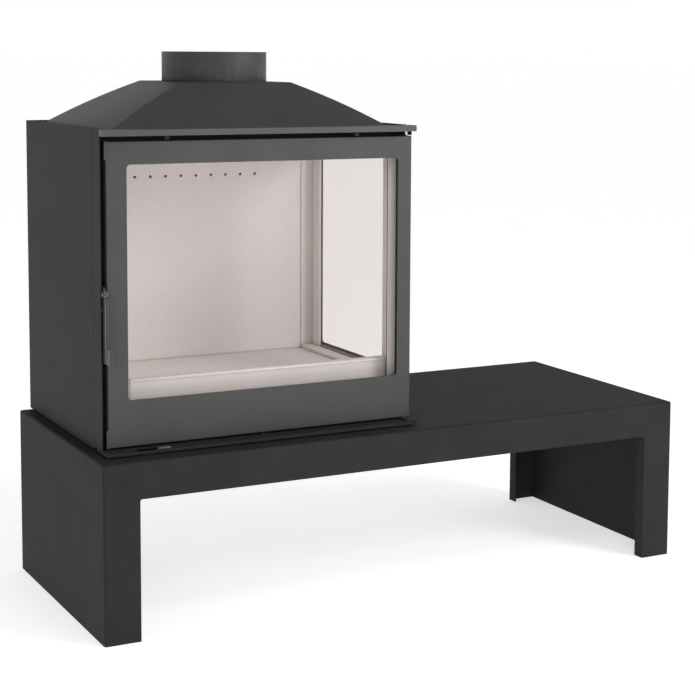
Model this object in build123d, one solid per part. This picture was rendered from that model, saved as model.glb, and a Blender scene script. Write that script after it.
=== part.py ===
from build123d import *
import math
import os

# Wood burning stove on a long sheet steel bench. Millimetres, +Z up, origin on the floor at the
# middle of the bench. X runs to the right along the bench, Y to the back; the door faces -Y.

# ---- bench ----
bench_length = 1400.0
bench_depth = 590.0
bench_height = 370.0
bench_sheet = 4.0
bench_bend = 5.0            # outside radius of the folded and welded corners
front_leg_width = 77.0      # also the height of the front apron, so that the mitre is at 45 degrees
rear_leg_width = 75.0
front_return = 30.0         # depth of the lips folded back behind the front legs and apron
rear_return = 27.0
leg_corner_radius = 4.0
stiffener_width = 40.0
stiffener_height = 30.0
stiffener_sheet = 3.0
stiffener_from_foot = 70.0  # from a foot's centre line to the stiffener beside it

# ---- stove body ----
body_width = 710.0
body_depth = 510.0
body_height = 657.0
body_inset = 25.0           # from the bench's left end; the body is flush with the bench's back
body_sheet = 4.0
base_sheet = 4.0
top_sheet = 4.0
top_recess = 3.0            # how far the side panels stand up past the top plate
cheek_sheet = 2.0           # folded cheek of the front frame, left of the door
cheek_depth = 46.0          # from the body's front edge
cheek_seam = 1.5            # open seam between the cheek and the left side panel
cheek_gap = 1.5             # between the door's top and the closed right end of the gap above it
frame_sheet = 3.0
foot_height = 3.0
foot_radius = 20.0
foot_from_side = 60.0
foot_from_front = 80.0
foot_from_back = 60.0
bolt_radius = 4.0
bolt_clearance = 0.5
bolt_head_radius = 6.5
bolt_head_height = 5.3
nut_half_width = 7.5
nut_height = 6.5

# ---- sill, lip and air control ----
sill_overhang = 35.0
sill_height = 6.0
sill_sheet = 2.0
sill_edge_radius = 1.0
lip_overhang = 21.5
lip_height = 13.0
lip_sheet = 3.0
lip_edge_radius = 1.5
lip_clip_width = 10.0
lip_clip_drop = 8.0
lip_clip_sheet = 2.0
lip_clip_spacing = 430.0
slot_from_left = 66.0
slot_length = 74.0
slot_width = 22.0
slot_from_edge = 5.0        # from the sill's front edge to the slot
slot_corner = 5.0
tab_length = 28.0
tab_depth = 13.0
tab_edge_radius = 1.5
tab_end_gap = 3.0
tab_rise = 3.5              # how far the tab stands above the sill
tab_play = 1.0
slider_sheet = 2.0
slider_travel = 38.0
slider_port_length = 40.0
slider_port_height = 22.0
slider_port_pitch = 84.0
slider_port_count = 3
slider_port_from_left = 110.0
slider_port_bottom = 18.0
slider_port_corner = 3.0
slider_margin = 8.0
slider_foot = 5.0           # depth of the flange along the slider's lower edge
slider_rise = 1.0           # from the sill's lower edge to the slider's flange
slider_play = 0.5
guide_sheet = 2.0
rest_width = 10.0           # small door rest at the middle of the sill
rest_depth = 7.0
rest_height = 3.0

# ---- smoke hood and flue collar ----
hood_width = 630.0
hood_depth = 452.0
hood_height = 94.0
hood_top_side = 255.0
hood_sheet = 3.0
hood_bow = 4.0              # how far each flank bulges past its straight line
hood_to_left = 3.5          # from the body's middle to the hood's
hood_landing = 8.0          # width of the top plate that carries the hood's edge
hood_from_front = 31.0
collar_radius = 115.0
collar_wall = 3.0
collar_height = 65.0

# ---- firebox ----
floor_top = 94.0            # top of the floor boards above the body's underside
floor_board = 25.0
floor_sheet = 3.0
side_board_width = 110.0    # the two narrow floor boards
front_air_gap = 12.0        # slot for the primary air in front of the floor boards
front_air_slot = 120.0      # length of each opening in the floor plate under that slot
front_air_edge = 3.0        # floor plate left on both sides of those openings
left_board = 30.0
back_board = 25.0
right_board = 30.5          # width of the low lining under the side window
corner_step = 3.0           # how far the corner lining stands in front of the back lining
corner_lap = 24.0           # how far the corner lining laps the side glass
air_channel_depth = 9.0
air_channel_sheet = 2.0
air_channel_width = 460.0
air_channel_cap = 18.0      # from the holes' centre line to the channel's closed top
air_hole_radius = 3.5
air_hole_count = 11
air_hole_pitch = 37.6
air_hole_from_top = 133.0   # below the body's top
opening_left = 44.0         # the firebox mouth in the front frame, from the body's left face
opening_right = 42.5        # from the body's right face
opening_top = 57.0          # below the body's top
lining_top = 41.0           # below the body's top
baffle_board = 22.0
baffle_front_gap = 80.0     # smoke passage between the front frame and the baffle
baffle_play = 2.0
rail_sheet = 3.0
rail_width = 38.0
retainer_sheet = 3.0
retainer_height = 46.0
retainer_lip = 18.0
retainer_bend = 6.0
retainer_from_left = 77.0
retainer_from_right = 35.0
retainer_rim = 6.0          # raised edge all round the bar's face
retainer_recess = 3.0
retainer_corner = 4.0
trim_width = 19.5           # bright strip on the frame, right of the mouth
trim_sheet = 1.2

# ---- side window ----
side_open_front = 90.0      # from the body's front edge
side_open_back = 68.0       # from the body's back
side_open_bottom = 110.0
side_open_top = 72.0        # below the body's top
side_glass_cover = 12.0     # how far the glass laps the opening's edge
glass_thickness = 4.0
gasket_thickness = 2.0
gasket_cover = 10.0
retainer_strip = 22.0
strip_sheet = 2.0
screw_radius = 2.5
screw_play = 0.1
screw_head_radius = 4.5
screw_head_height = 3.0
side_screw_inset = 30.0
side_screw_count = 3
sill_lining_height = 8.0
post_from_lining = 19.5     # from the low lining's inner face to the post
post_sheet = 3.0
post_depth = 51.0

# ---- door ----
door_gap_left = 13.5
door_gap_bottom = 4.0       # above the sill
door_gap_top = 24.0         # below the body's top
door_depth = 22.0
door_sheet = 3.0
door_edge_radius = 2.5
stile_left = 43.5
stile_right = 33.0
rail_top = 47.0
rail_bottom = 96.0
window_radius = 8.0
glass_cover = 11.0
ear_width = 3.0
ear_height = 37.0
ear_setback = 0.5
rope_width = 10.0
rope_thickness = 7.7
rope_clearance = 0.3        # from the rope to the front frame
rope_from_left = 9.5        # from the door's edges to the rope
rope_from_right = 11.0
rope_from_top = 12.0
rope_from_bottom = 45.0
rope_corner = 15.0
rope_land = 2.5             # flange left inside the rope
clip_width = 24.0
clip_sheet = 2.0
clip_lap = 8.0
clip_screw_from_glass = 6.0
clip_edge = 5.0
clip_count = 3
clip_inset = 70.0
boss_radius = 5.0
boss_height = 4.0
rivet_radius = 2.0
rivet_height = 0.8
rivet_from_edge = 7.0
rivet_levels = (62.0, 192.0)    # below the door's top

# ---- hinges ----
hinge_from_side = 9.5
hinge_from_front = 9.5
pin_radius = 4.0
running_play = 0.05
bush_radius = 6.0
bush_length = 30.0
pin_in_bush = 25.0
pin_head_radius = 7.0
pin_head_height = 5.0
block_width = 24.0
block_height = 3.0
block_from_edge = 5.0
block_behind_pin = 10.0
block_edge_radius = 1.0
washer_radius = 8.0
hinge_play = 0.1

# ---- handle and catch ----
pivot_above_base = 325.5
pivot_behind_front = 6.0
hub_radius = 16.5
lever_thickness = 5.8
lever_from_door = 3.0
lever_front = 15.0          # how far the lever stands in front of the body's front edge
lever_width = 27.0
lever_shoulder = 12.0
lever_drop = 106.5          # from the pivot to the paddle's top
paddle_height = 32.0
paddle_front = 37.5
paddle_corner = 8.0
pivot_screw_radius = 4.0
pivot_head_radius = 7.0
pivot_head_height = 2.0
lever_play = 0.2
spacer_radius = 8.0
catch_drop = 31.0           # from the pivot down to the catch pin
catch_radius = 3.0
catch_behind_front = 8.7
catch_length = 7.0
catch_gap = 2.0             # around the catch pin in the lever's slot

cut_margin = 1.0            # how far a cutting block passes the faces that it cuts

# ---- planes that the pieces share ----
bench_left = -bench_length / 2
bench_right = bench_length / 2
bench_front = -bench_depth / 2
left = bench_left + body_inset
right = left + body_width
back = bench_depth / 2
front = back - body_depth
base = bench_height + foot_height
top = base + body_height
middle = (left + right) / 2
frame_front = front + door_depth + rope_thickness + rope_clearance
frame_back = frame_front + frame_sheet
left_inside = left + body_sheet
right_inside = right - body_sheet
back_inside = back - body_sheet
plate_top = top - top_recess
plate_under = plate_top - top_sheet
sill_top = base + sill_height
floor_level = base + floor_top
floor_under = floor_level - floor_board
back_lining_back = back_inside - air_channel_depth
back_lining_face = back_lining_back - back_board
side_stack = gasket_thickness + glass_thickness + strip_sheet + screw_head_height
right_lining_face = right_inside - side_stack - right_board
left_lining_face = left_inside + left_board
lining_level = top - lining_top
door_left = left + door_gap_left
door_right = right
door_bottom = sill_top + door_gap_bottom
door_top = top - door_gap_top
door_back = front + door_depth
window_left = door_left + stile_left
window_right = door_right - stile_right
window_bottom = door_bottom + rail_bottom
window_top = door_top - rail_top
hinge_x = door_right - hinge_from_side
hinge_y = front + hinge_from_front
pivot_y = front + pivot_behind_front
pivot_z = base + pivot_above_base
hood_x = middle - hood_to_left
hood_y = front + hood_from_front + hood_depth / 2
hood_top = plate_top + hood_height

parts = {}


def block(x, y, z):
    """A rectangular block between two limits on each axis."""
    size = [abs(pair[1] - pair[0]) for pair in (x, y, z)]
    centre = [(pair[0] + pair[1]) / 2 for pair in (x, y, z)]
    return Pos(*centre) * Box(*size)


def rod(radius, start, length, axis):
    """A round bar from a point along +X, +Y or +Z."""
    turn = {"X": Rot(0, 90, 0), "Y": Rot(-90, 0, 0), "Z": Rot(0, 0, 0)}[axis]
    return Pos(*start) * turn * Cylinder(radius, length, align=(Align.CENTER, Align.CENTER, Align.MIN))


def tube(outer, inner, start, length, axis):
    """A round tube from a point along +X, +Y or +Z."""
    return rod(outer, start, length, axis) - rod(inner, start, length, axis)


def window_block(x, y, z, radius):
    """A block whose edges along Y are rounded, used for openings in front walls."""
    solid = block(x, y, z)
    return fillet(solid.edges().filter_by(Axis.Y), radius)


def side_window_block(x, y, z, radius):
    """A block whose edges along X are rounded, used for openings in side walls."""
    solid = block(x, y, z)
    return fillet(solid.edges().filter_by(Axis.X), radius)


def spread(count, low, high):
    """Evenly spaced places from low to high."""
    return [low + (high - low) * i / (count - 1) for i in range(count)]


# ---- bench ----
def bench_shell():
    """The whole bench as one folded shell, before it is cut at its mitres."""
    x, y, z = (bench_left, bench_right), (bench_front, back), (0, bench_height)
    outer = block(x, y, z)
    outer = fillet(outer.edges().filter_by(Axis.Z), bench_bend)
    outer = fillet(outer.faces().sort_by(Axis.Z)[-1].edges(), bench_bend)
    s = bench_sheet
    inner = block((x[0] + s, x[1] - s), (y[0] + s, y[1] - s), (-cut_margin, bench_height - s))
    shell = outer - inner
    for wall, lip, leg, inward in (
        (bench_front, front_return, front_leg_width, 1),
        (back, rear_return, rear_leg_width, -1),
    ):
        sheet_y = sorted((wall - inward * cut_margin, wall + inward * (s + cut_margin)))
        lip_y = sorted((wall + inward * s, wall + inward * lip))
        cut = block((x[0] + leg, x[1] - leg), sheet_y, (-leg, bench_height - leg))
        shell -= fillet(cut.edges().filter_by(Axis.Y).sort_by(Axis.Z)[-2:], leg_corner_radius)
        shell += block((x[0] + leg - s, x[0] + leg), lip_y, (0, bench_height - leg + s))
        shell += block((x[1] - leg, x[1] - leg + s), lip_y, (0, bench_height - leg + s))
        under = bench_height - leg
        shell += block((x[0] + leg - s, x[1] - leg + s), lip_y, (under, under + s))
    return shell


def foot_places():
    """Centres of the four feet, which the bolts share."""
    return [
        (x, y)
        for x in (left + foot_from_side, right - foot_from_side)
        for y in (front + foot_from_front, back - foot_from_back)
    ]


shell = bench_shell()
left_mitre = Plane(origin=(bench_left, 0, bench_height), z_dir=(1, 0, 1))
right_mitre = Plane(origin=(bench_right, 0, bench_height), z_dir=(-1, 0, 1))
parts["bench_left_side"] = split(shell, bisect_by=left_mitre, keep=Keep.BOTTOM)
shell = split(shell, bisect_by=left_mitre, keep=Keep.TOP)
parts["bench_right_side"] = split(shell, bisect_by=right_mitre, keep=Keep.BOTTOM)
bench_top = split(shell, bisect_by=right_mitre, keep=Keep.TOP)
for x, y in foot_places():
    drill_low = bench_height - 2 * bench_sheet
    bench_top -= rod(bolt_radius + bolt_clearance, (x, y, drill_low), 3 * bench_sheet, "Z")
parts["bench_top"] = bench_top

stiffeners = []
for x in (
    left + foot_from_side + stiffener_from_foot,
    right - foot_from_side - stiffener_from_foot,
    (right + bench_right) / 2,
):
    ends = (bench_front + bench_sheet, back - bench_sheet)
    high = bench_height - bench_sheet
    half, s = stiffener_width / 2, stiffener_sheet
    channel = block((x - half, x + half), ends, (high - stiffener_height, high))
    channel -= block((x - half + s, x + half - s), ends, (high - stiffener_height + s, high))
    stiffeners.append(channel)
parts["bench_stiffeners"] = Compound(children=stiffeners)

parts["foot_pads"] = Compound(children=[
    tube(foot_radius, bolt_radius + bolt_clearance, (x, y, bench_height), foot_height, "Z")
    for x, y in foot_places()
])


def fixing_bolt(x, y):
    """Hexagon bolt from under the bench into the weld nut on the base plate."""
    under = bench_height - bench_sheet
    head = Pos(x, y, under - bolt_head_height) * extrude(
        RegularPolygon(bolt_head_radius, 6), bolt_head_height
    )
    reach = bench_sheet + foot_height + base_sheet + nut_height
    return head + rod(bolt_radius, (x, y, under), reach, "Z")


def weld_nut(x, y):
    """Square nut welded on the base plate."""
    half, low = nut_half_width, base + base_sheet
    nut = block((x - half, x + half), (y - half, y + half), (low, low + nut_height))
    return nut - rod(bolt_radius + running_play, (x, y, low), nut_height, "Z")


parts["bench_bolts"] = Compound(children=[fixing_bolt(x, y) for x, y in foot_places()])
parts["weld_nuts"] = Compound(children=[weld_nut(x, y) for x, y in foot_places()])

# ---- welded body ----
base_plate = block((left_inside, right_inside), (frame_back, back_inside), (base, base + base_sheet))
for x, y in foot_places():
    base_plate -= rod(bolt_radius + bolt_clearance, (x, y, base), base_sheet, "Z")
parts["base_plate"] = base_plate

panel_front = front + cheek_depth + cheek_seam
parts["left_side_panel"] = block((left, left_inside), (panel_front, back), (base, top))
parts["back_panel"] = block((left_inside, right_inside), (back_inside, back), (base, top))

side_open_y = (front + side_open_front, back - side_open_back)
side_open_z = (base + side_open_bottom, top - side_open_top)
right_frame = block((right_inside, right), (frame_front, back), (base, top))
right_frame -= side_window_block(
    (right_inside - cut_margin, right + cut_margin), side_open_y, side_open_z, window_radius
)
right_frame -= block((right_inside, right), (frame_front, frame_back), (base, sill_top))
right_frame += block((right - cheek_sheet, right), (front, frame_front), (door_top + cheek_gap, top))
parts["right_side_frame"] = right_frame


def port_places():
    """Left edges of the air ports in the front frame."""
    start = left + slider_port_from_left
    return [start + i * slider_port_pitch for i in range(slider_port_count)]


def port_row(y, shift):
    """The row of air ports as cutting blocks, shifted along X."""
    low = base + slider_port_bottom
    return [
        window_block(
            (x + shift, x + shift + slider_port_length), y, (low, low + slider_port_height),
            slider_port_corner,
        )
        for x in port_places()
    ]


mouth_x = (left + opening_left, right - opening_right)
mouth_z = (floor_level, top - opening_top)
front_frame = block((left, right_inside), (frame_front, frame_back), (sill_top, plate_under))
front_frame += block((left, left + cheek_sheet), (front, front + cheek_depth), (sill_top, top))
frame_cut_y = (frame_front - cut_margin, frame_back + cut_margin)
front_frame -= window_block(mouth_x, frame_cut_y, mouth_z, window_radius)
for port in port_row(frame_cut_y, 0):
    front_frame -= port
parts["front_frame"] = front_frame

# top plate, with the smoke opening under the hood
smoke_x = hood_width / 2 - hood_landing
smoke_y = hood_depth / 2 - hood_landing
top_plate = block((left_inside, right_inside), (front, back_inside), (plate_under, plate_top))
tongue_front = front - lip_overhang + lip_sheet
top_plate += block((left_inside, right_inside), (tongue_front, front), (plate_under, plate_top))
top_plate -= block(
    (hood_x - smoke_x, hood_x + smoke_x), (hood_y - smoke_y, hood_y + smoke_y),
    (plate_under - cut_margin, plate_top + cut_margin),
)
top_plate -= rod(pin_radius + running_play, (hinge_x, hinge_y, plate_under), top_sheet, "Z")
parts["top_plate"] = top_plate

lip = block((left, right), (front - lip_overhang, front), (top - lip_height, top))
lip -= block(
    (left - cut_margin, right + cut_margin),
    (front - lip_overhang + lip_sheet, front + cut_margin),
    (top - lip_height - cut_margin, top - lip_sheet),
)
lip = fillet(
    lip.edges().filter_by(Axis.X).group_by(Axis.Y)[0].sort_by(Axis.Z)[-1:], lip_edge_radius
)
lip += block((left, left + cheek_sheet), (front - lip_overhang, front), (top - lip_height, top))
lip += block((right - cheek_sheet, right), (front - lip_overhang, front), (top - lip_height, top))
parts["top_lip"] = lip

clips = []
for side in (-1, 1):
    x = middle + side * lip_clip_spacing / 2
    y = front - lip_overhang / 2
    edge = (x - lip_clip_width / 2, x + lip_clip_width / 2)
    low = top - lip_height - lip_clip_drop
    clips.append(block(edge, (y, y + lip_clip_sheet), (low, plate_under)))
parts["lip_clips"] = Compound(children=clips)


# ---- sill ----
sill_front = front - sill_overhang
sill = block((left, right), (sill_front, frame_back), (base, sill_top))
sill -= block(
    (left + sill_sheet, right - sill_sheet), (sill_front + sill_sheet, frame_back + cut_margin),
    (base - cut_margin, sill_top - sill_sheet),
)
sill = fillet(
    sill.edges().filter_by(Axis.X).group_by(Axis.Y)[0].sort_by(Axis.Z)[-1:], sill_edge_radius
)
slot_x = (left + slot_from_left, left + slot_from_left + slot_length)
slot_y = (sill_front + slot_from_edge, sill_front + slot_from_edge + slot_width)
slot = block(slot_x, slot_y, (base, sill_top + cut_margin))
sill -= fillet(slot.edges().filter_by(Axis.Z), slot_corner)
plate_x = (
    port_places()[0] - slider_margin - slider_port_length,
    port_places()[-1] + slider_port_length + slider_margin,
)
slider_back = frame_front - slider_play
slider_front = slider_back - slider_sheet
sill -= block(
    (plate_x[0] - slider_travel - slider_margin, plate_x[1] + slider_margin),
    (slider_front - slider_play, frame_front), (base, sill_top + cut_margin),
)
sill -= rod(pin_radius + running_play, (hinge_x, hinge_y, base), sill_height + cut_margin, "Z")
parts["front_sill"] = sill

parts["door_rest"] = block(
    (middle - rest_width / 2, middle + rest_width / 2), (front - rest_depth, front),
    (sill_top, sill_top + rest_height),
)

# ---- air control ----
tab_x = (slot_x[1] - tab_end_gap - tab_length, slot_x[1] - tab_end_gap)
tab_y = (slot_y[0] + tab_play, slot_y[0] + tab_play + tab_depth)
slide_z = (base + slider_rise, base + slider_rise + slider_sheet)
port_low = base + slider_port_bottom
foot_front = slider_front - slider_foot
slider = block(plate_x, (foot_front, slider_back), slide_z)
slider += block(
    plate_x, (slider_front, slider_back),
    (slide_z[0], port_low + slider_port_height + slider_margin),
)
for port in port_row((slider_front - cut_margin, slider_back + cut_margin), -slider_travel):
    slider -= port
parts["air_slider"] = slider

arm = block(tab_x, (tab_y[0], foot_front), slide_z)
tab = block(tab_x, tab_y, (slide_z[0], sill_top + tab_rise))
parts["air_control_arm"] = arm + fillet(tab.faces().sort_by(Axis.Z)[-1].edges(), tab_edge_radius)

guide_low = port_low + slider_port_height + slider_margin + slider_play
guide_x = (plate_x[0] + slider_margin, plate_x[1] - slider_margin)
guide_front = slider_front - slider_play - guide_sheet
guide = block(guide_x, (guide_front, frame_front), (guide_low, guide_low + guide_sheet))
guide += block(
    guide_x, (guide_front, guide_front + guide_sheet),
    (guide_low - slider_margin / 2, guide_low),
)
parts["slider_guide"] = guide


# ---- smoke hood and collar ----
def hood_outline(half_base, half_top, height):
    """Trapezium with bowed flanks, its base on the sketch's x axis."""
    run = half_base - half_top
    length = math.hypot(run, height)
    middle_x = (half_base + half_top) / 2 + hood_bow * height / length
    middle_z = height / 2 + hood_bow * run / length
    edges = [
        Line((-half_base, 0), (half_base, 0)),
        ThreePointArc((half_base, 0), (middle_x, middle_z), (half_top, height)),
        Line((half_top, height), (-half_top, height)),
        ThreePointArc((-half_top, height), (-middle_x, middle_z), (-half_base, 0)),
    ]
    return make_face(edges)


def hood_body(inset):
    """The hood's outer shape, or the hollow inside a sheet of the given thickness."""
    faces = []
    for half_base in (hood_width / 2, hood_depth / 2):
        half_top = hood_top_side / 2
        lean = math.atan2(hood_height, half_base - half_top)
        faces.append(hood_outline(
            half_base - inset / math.sin(lean), half_top - inset * math.tan(lean / 2),
            hood_height - inset,
        ))
    across = extrude(Plane.XZ * faces[0], hood_depth, both=True)
    along = extrude(Plane.YZ * faces[1], hood_width, both=True)
    return Pos(hood_x, hood_y, plate_top) * (across & along)


bore_radius = collar_radius - collar_wall
hood = hood_body(0) - hood_body(hood_sheet)
hood -= rod(bore_radius, (hood_x, hood_y, plate_top), hood_height + cut_margin, "Z")
parts["smoke_hood"] = hood
parts["flue_collar"] = tube(
    collar_radius, bore_radius, (hood_x, hood_y, hood_top), collar_height, "Z"
)

# ---- firebox ----
floor_sheet_z = (floor_under - floor_sheet, floor_under)
floor_plate = block((left_inside, right_inside), (frame_back, back_inside), floor_sheet_z)
air_front = (frame_back, frame_back + front_air_gap)
for x in spread(3, left_lining_face + side_board_width, right_lining_face - side_board_width):
    floor_plate -= block(
        (x - front_air_slot / 2, x + front_air_slot / 2),
        (air_front[0] + front_air_edge, air_front[1] - front_air_edge), (base, top),
    )
channel_x = (middle - air_channel_width / 2, middle + air_channel_width / 2)
inner_channel_x = (channel_x[0] + air_channel_sheet, channel_x[1] - air_channel_sheet)
floor_plate -= block(
    inner_channel_x, (back_lining_back + air_channel_sheet, back_inside),
    (floor_sheet_z[0] - cut_margin, floor_sheet_z[1] + cut_margin),
)
parts["floor_plate"] = floor_plate

board_y = (air_front[1], back_lining_face)
board_z = (floor_under, floor_level)
inner_x = (left_lining_face, right_lining_face)
parts["floor_board_left"] = block((inner_x[0], inner_x[0] + side_board_width), board_y, board_z)
parts["floor_board_right"] = block((inner_x[1] - side_board_width, inner_x[1]), board_y, board_z)
parts["floor_board_middle"] = block(
    (inner_x[0] + side_board_width, inner_x[1] - side_board_width), board_y, board_z
)

hole_half = air_hole_pitch * (air_hole_count - 1) / 2
hole_z = top - air_hole_from_top
back_lining = block(inner_x, (back_lining_face, back_lining_back), (floor_under, lining_level))
channel = block(channel_x, (back_lining_back, back_inside), (floor_under, hole_z + air_channel_cap))
channel -= block(
    inner_channel_x, (back_lining_back + air_channel_sheet, back_inside + cut_margin),
    (floor_under - cut_margin, hole_z + air_channel_cap - air_channel_sheet),
)
for x in spread(air_hole_count, middle - hole_half, middle + hole_half):
    drill = rod(air_hole_radius, (x, back_lining_face, hole_z), back_board + air_channel_sheet, "Y")
    back_lining -= drill
    channel -= drill
parts["back_lining"] = back_lining
parts["rear_air_channel"] = channel

parts["left_lining"] = block(
    (left_inside, left_lining_face), (air_front[1], back_lining_back), (floor_under, lining_level)
)
rail_under = lining_level - rail_sheet
corner_front = back_lining_face - corner_step
corner_z = (floor_under, rail_under)
side_glass_back = back - side_open_back + side_glass_cover
corner_lining = block((right_lining_face, right_inside), (corner_front, back_lining_back), corner_z)
lap_front = side_glass_back - corner_lap
lap_x = (right_lining_face + right_board, right_inside - gasket_thickness - glass_thickness)
corner_lining += block(lap_x, (lap_front, corner_front), corner_z)
parts["right_corner_lining"] = corner_lining
post_left = right_lining_face + post_from_lining
post_x = (post_left, post_left + post_sheet)
post_y = (frame_back, frame_back + post_depth)
parts["right_sill_lining"] = block(
    (right_lining_face, right_lining_face + right_board), (post_y[1], corner_front),
    (floor_under, floor_level + sill_lining_height),
)
parts["front_post"] = block(post_x, post_y, (floor_under, rail_under))

rail = block((right_inside - rail_width, right_inside), (frame_back, back_lining_face),
             (rail_under, lining_level))
rail += block((right_inside - rail_sheet, right_inside), (frame_back, back_lining_face),
              (rail_under, lining_level + baffle_board / 2))
parts["baffle_rail"] = rail
parts["baffle_plate"] = block(
    (left_inside + baffle_play, right_inside - rail_sheet - baffle_play),
    (frame_back + baffle_front_gap, back_lining_back - baffle_play),
    (lining_level, lining_level + baffle_board),
)

# log retainer: a pressed and folded bar that stands on the floor boards behind the mouth
retainer_x = (left + retainer_from_left, right - retainer_from_right)
retainer_y = board_y[0]
retainer_top = floor_level + retainer_height
hollow_front = retainer_y + retainer_recess + retainer_sheet
retainer = block(retainer_x, (retainer_y, retainer_y + retainer_lip), (floor_level, retainer_top))
retainer = fillet(
    retainer.edges().filter_by(Axis.X).group_by(Axis.Y)[0].sort_by(Axis.Z)[-1:], retainer_bend
)
retainer -= block(
    (left, right), (hollow_front, retainer_y + retainer_lip + cut_margin),
    (floor_level - cut_margin, retainer_top - retainer_sheet),
)
retainer -= window_block(
    (retainer_x[0] + retainer_rim, retainer_x[1] - retainer_rim),
    (retainer_y - cut_margin, retainer_y + retainer_recess),
    (floor_level + retainer_rim, retainer_top - retainer_rim), retainer_corner,
)
parts["log_retainer"] = retainer

parts["mouth_trim"] = block(
    (mouth_x[1], mouth_x[1] + trim_width), (frame_front - trim_sheet, frame_front), mouth_z
)

# ---- side window ----
cover = side_glass_cover
side_glass_y = (side_open_y[0] - cover, side_glass_back)
side_glass_z = (side_open_z[0] - cover, side_open_z[1] + cover)
gasket_x = (right_inside - gasket_thickness, right_inside)
side_glass_x = (gasket_x[0] - glass_thickness, gasket_x[0])
parts["side_glass"] = block(side_glass_x, side_glass_y, side_glass_z)
side_gasket = block(gasket_x, side_glass_y, side_glass_z)
side_gasket -= block(
    gasket_x,
    (side_glass_y[0] + gasket_cover, side_glass_y[1] - gasket_cover),
    (side_glass_z[0] + gasket_cover, side_glass_z[1] - gasket_cover),
)
parts["side_glass_gasket"] = side_gasket

strip_x = (side_glass_x[0] - strip_sheet, side_glass_x[0])
strip_y = (side_open_y[0], lap_front)
strips, side_screws = [], []
for edge, outward in ((side_glass_z[0], -1), (side_glass_z[1], 1)):
    inner_edge = edge - outward * clip_lap
    outer_edge = inner_edge + outward * retainer_strip
    strip = block(strip_x, strip_y, sorted((inner_edge, outer_edge)))
    foot_z = sorted((outer_edge, outer_edge - outward * strip_sheet))
    strip += block((strip_x[1], right_inside), strip_y, foot_z)
    screw_z = (edge + outer_edge - outward * strip_sheet) / 2
    for y in spread(
        side_screw_count, strip_y[0] + side_screw_inset, strip_y[1] - side_screw_inset
    ):
        strip -= rod(screw_radius + screw_play, (strip_x[0], y, screw_z), strip_sheet, "X")
        head_x = strip_x[0] - screw_head_height
        side_screws.append(
            rod(screw_head_radius, (head_x, y, screw_z), screw_head_height, "X")
            + rod(screw_radius, (strip_x[0], y, screw_z), right_inside - strip_x[0], "X")
        )
    strips.append(strip)
parts["side_glass_retainers"] = Compound(children=strips)
parts["side_glass_screws"] = Compound(children=side_screws)

# ---- door ----
rope_outer_x = (door_left + rope_from_left, door_right - rope_from_right)
rope_outer_z = (door_bottom + rope_from_bottom, door_top - rope_from_top)
rope_inner_x = (rope_outer_x[0] + rope_width, rope_outer_x[1] - rope_width)
rope_inner_z = (rope_outer_z[0] + rope_width, rope_outer_z[1] - rope_width)
glass_x = (window_left - glass_cover, window_right + glass_cover)
glass_z = (window_bottom - glass_cover, window_top + glass_cover)
gasket_y = (front + door_sheet, front + door_sheet + gasket_thickness)
glass_y = (gasket_y[1], gasket_y[1] + glass_thickness)
clip_rows = ((glass_z[0], -1), (glass_z[1], 1))


def clip_screw_places():
    """Centre, row edge and outward direction of every glass clip screw."""
    return [
        (x, edge + outward * clip_screw_from_glass, edge, outward)
        for edge, outward in clip_rows
        for x in spread(clip_count, glass_x[0] + clip_inset, glass_x[1] - clip_inset)
    ]


door = block((door_left, door_right), (front, door_back), (door_bottom, door_top))
door = fillet(door.faces().sort_by(Axis.Y)[0].edges(), door_edge_radius)
s = door_sheet
door -= block((door_left + s, door_right - s), (front + s, door_back - s), (door_bottom + s, door_top - s))
door -= window_block(
    (rope_inner_x[0] + rope_land, rope_inner_x[1] - rope_land),
    (door_back - s - cut_margin, door_back + cut_margin),
    (rope_inner_z[0] + rope_land, rope_inner_z[1] - rope_land), window_radius,
)
door -= window_block(
    (window_left, window_right), (front - cut_margin, front + s + cut_margin),
    (window_bottom, window_top), window_radius,
)
for z in ((door_bottom, door_bottom + ear_height), (door_top - ear_height, door_top)):
    door += block((door_left - ear_width, door_left + s), (front + ear_setback, front + s), z)
for x, z, edge, outward in clip_screw_places():
    door += tube(boss_radius, screw_radius + screw_play, (x, front + s, z), boss_height, "Y")
bush_top_z = door_top - bush_length
for z in (bush_top_z, door_bottom):
    door -= rod(bush_radius, (hinge_x, hinge_y, z), bush_length, "Z")
door -= rod(pivot_screw_radius + running_play, (door_left, pivot_y, pivot_z), s, "X")
parts["door_frame"] = door

parts["door_rivets"] = Compound(children=[
    rod(rivet_radius, (door_left + rivet_from_edge, front - rivet_height, door_top - level),
        rivet_height, "Y")
    for level in rivet_levels
])

parts["door_glass"] = block(glass_x, glass_y, glass_z)
gasket = block(glass_x, gasket_y, glass_z)
gasket -= block(
    (glass_x[0] + gasket_cover, glass_x[1] - gasket_cover), gasket_y,
    (glass_z[0] + gasket_cover, glass_z[1] - gasket_cover),
)
parts["door_glass_gasket"] = gasket

glass_clips, clip_screws = [], []
clip_y = (glass_y[1], glass_y[1] + clip_sheet)
for x, z, edge, outward in clip_screw_places():
    reach = sorted((edge - outward * clip_lap, z + outward * clip_edge))
    clip = block((x - clip_width / 2, x + clip_width / 2), clip_y, reach)
    clip -= rod(screw_radius + screw_play, (x, clip_y[0], z), clip_sheet, "Y")
    glass_clips.append(clip)
    shank = clip_y[1] - front - s
    clip_screws.append(
        rod(screw_head_radius, (x, clip_y[1], z), screw_head_height, "Y")
        + rod(screw_radius, (x, front + s, z), shank, "Y")
    )
parts["door_glass_clips"] = Compound(children=glass_clips)
parts["door_clip_screws"] = Compound(children=clip_screws)

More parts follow.
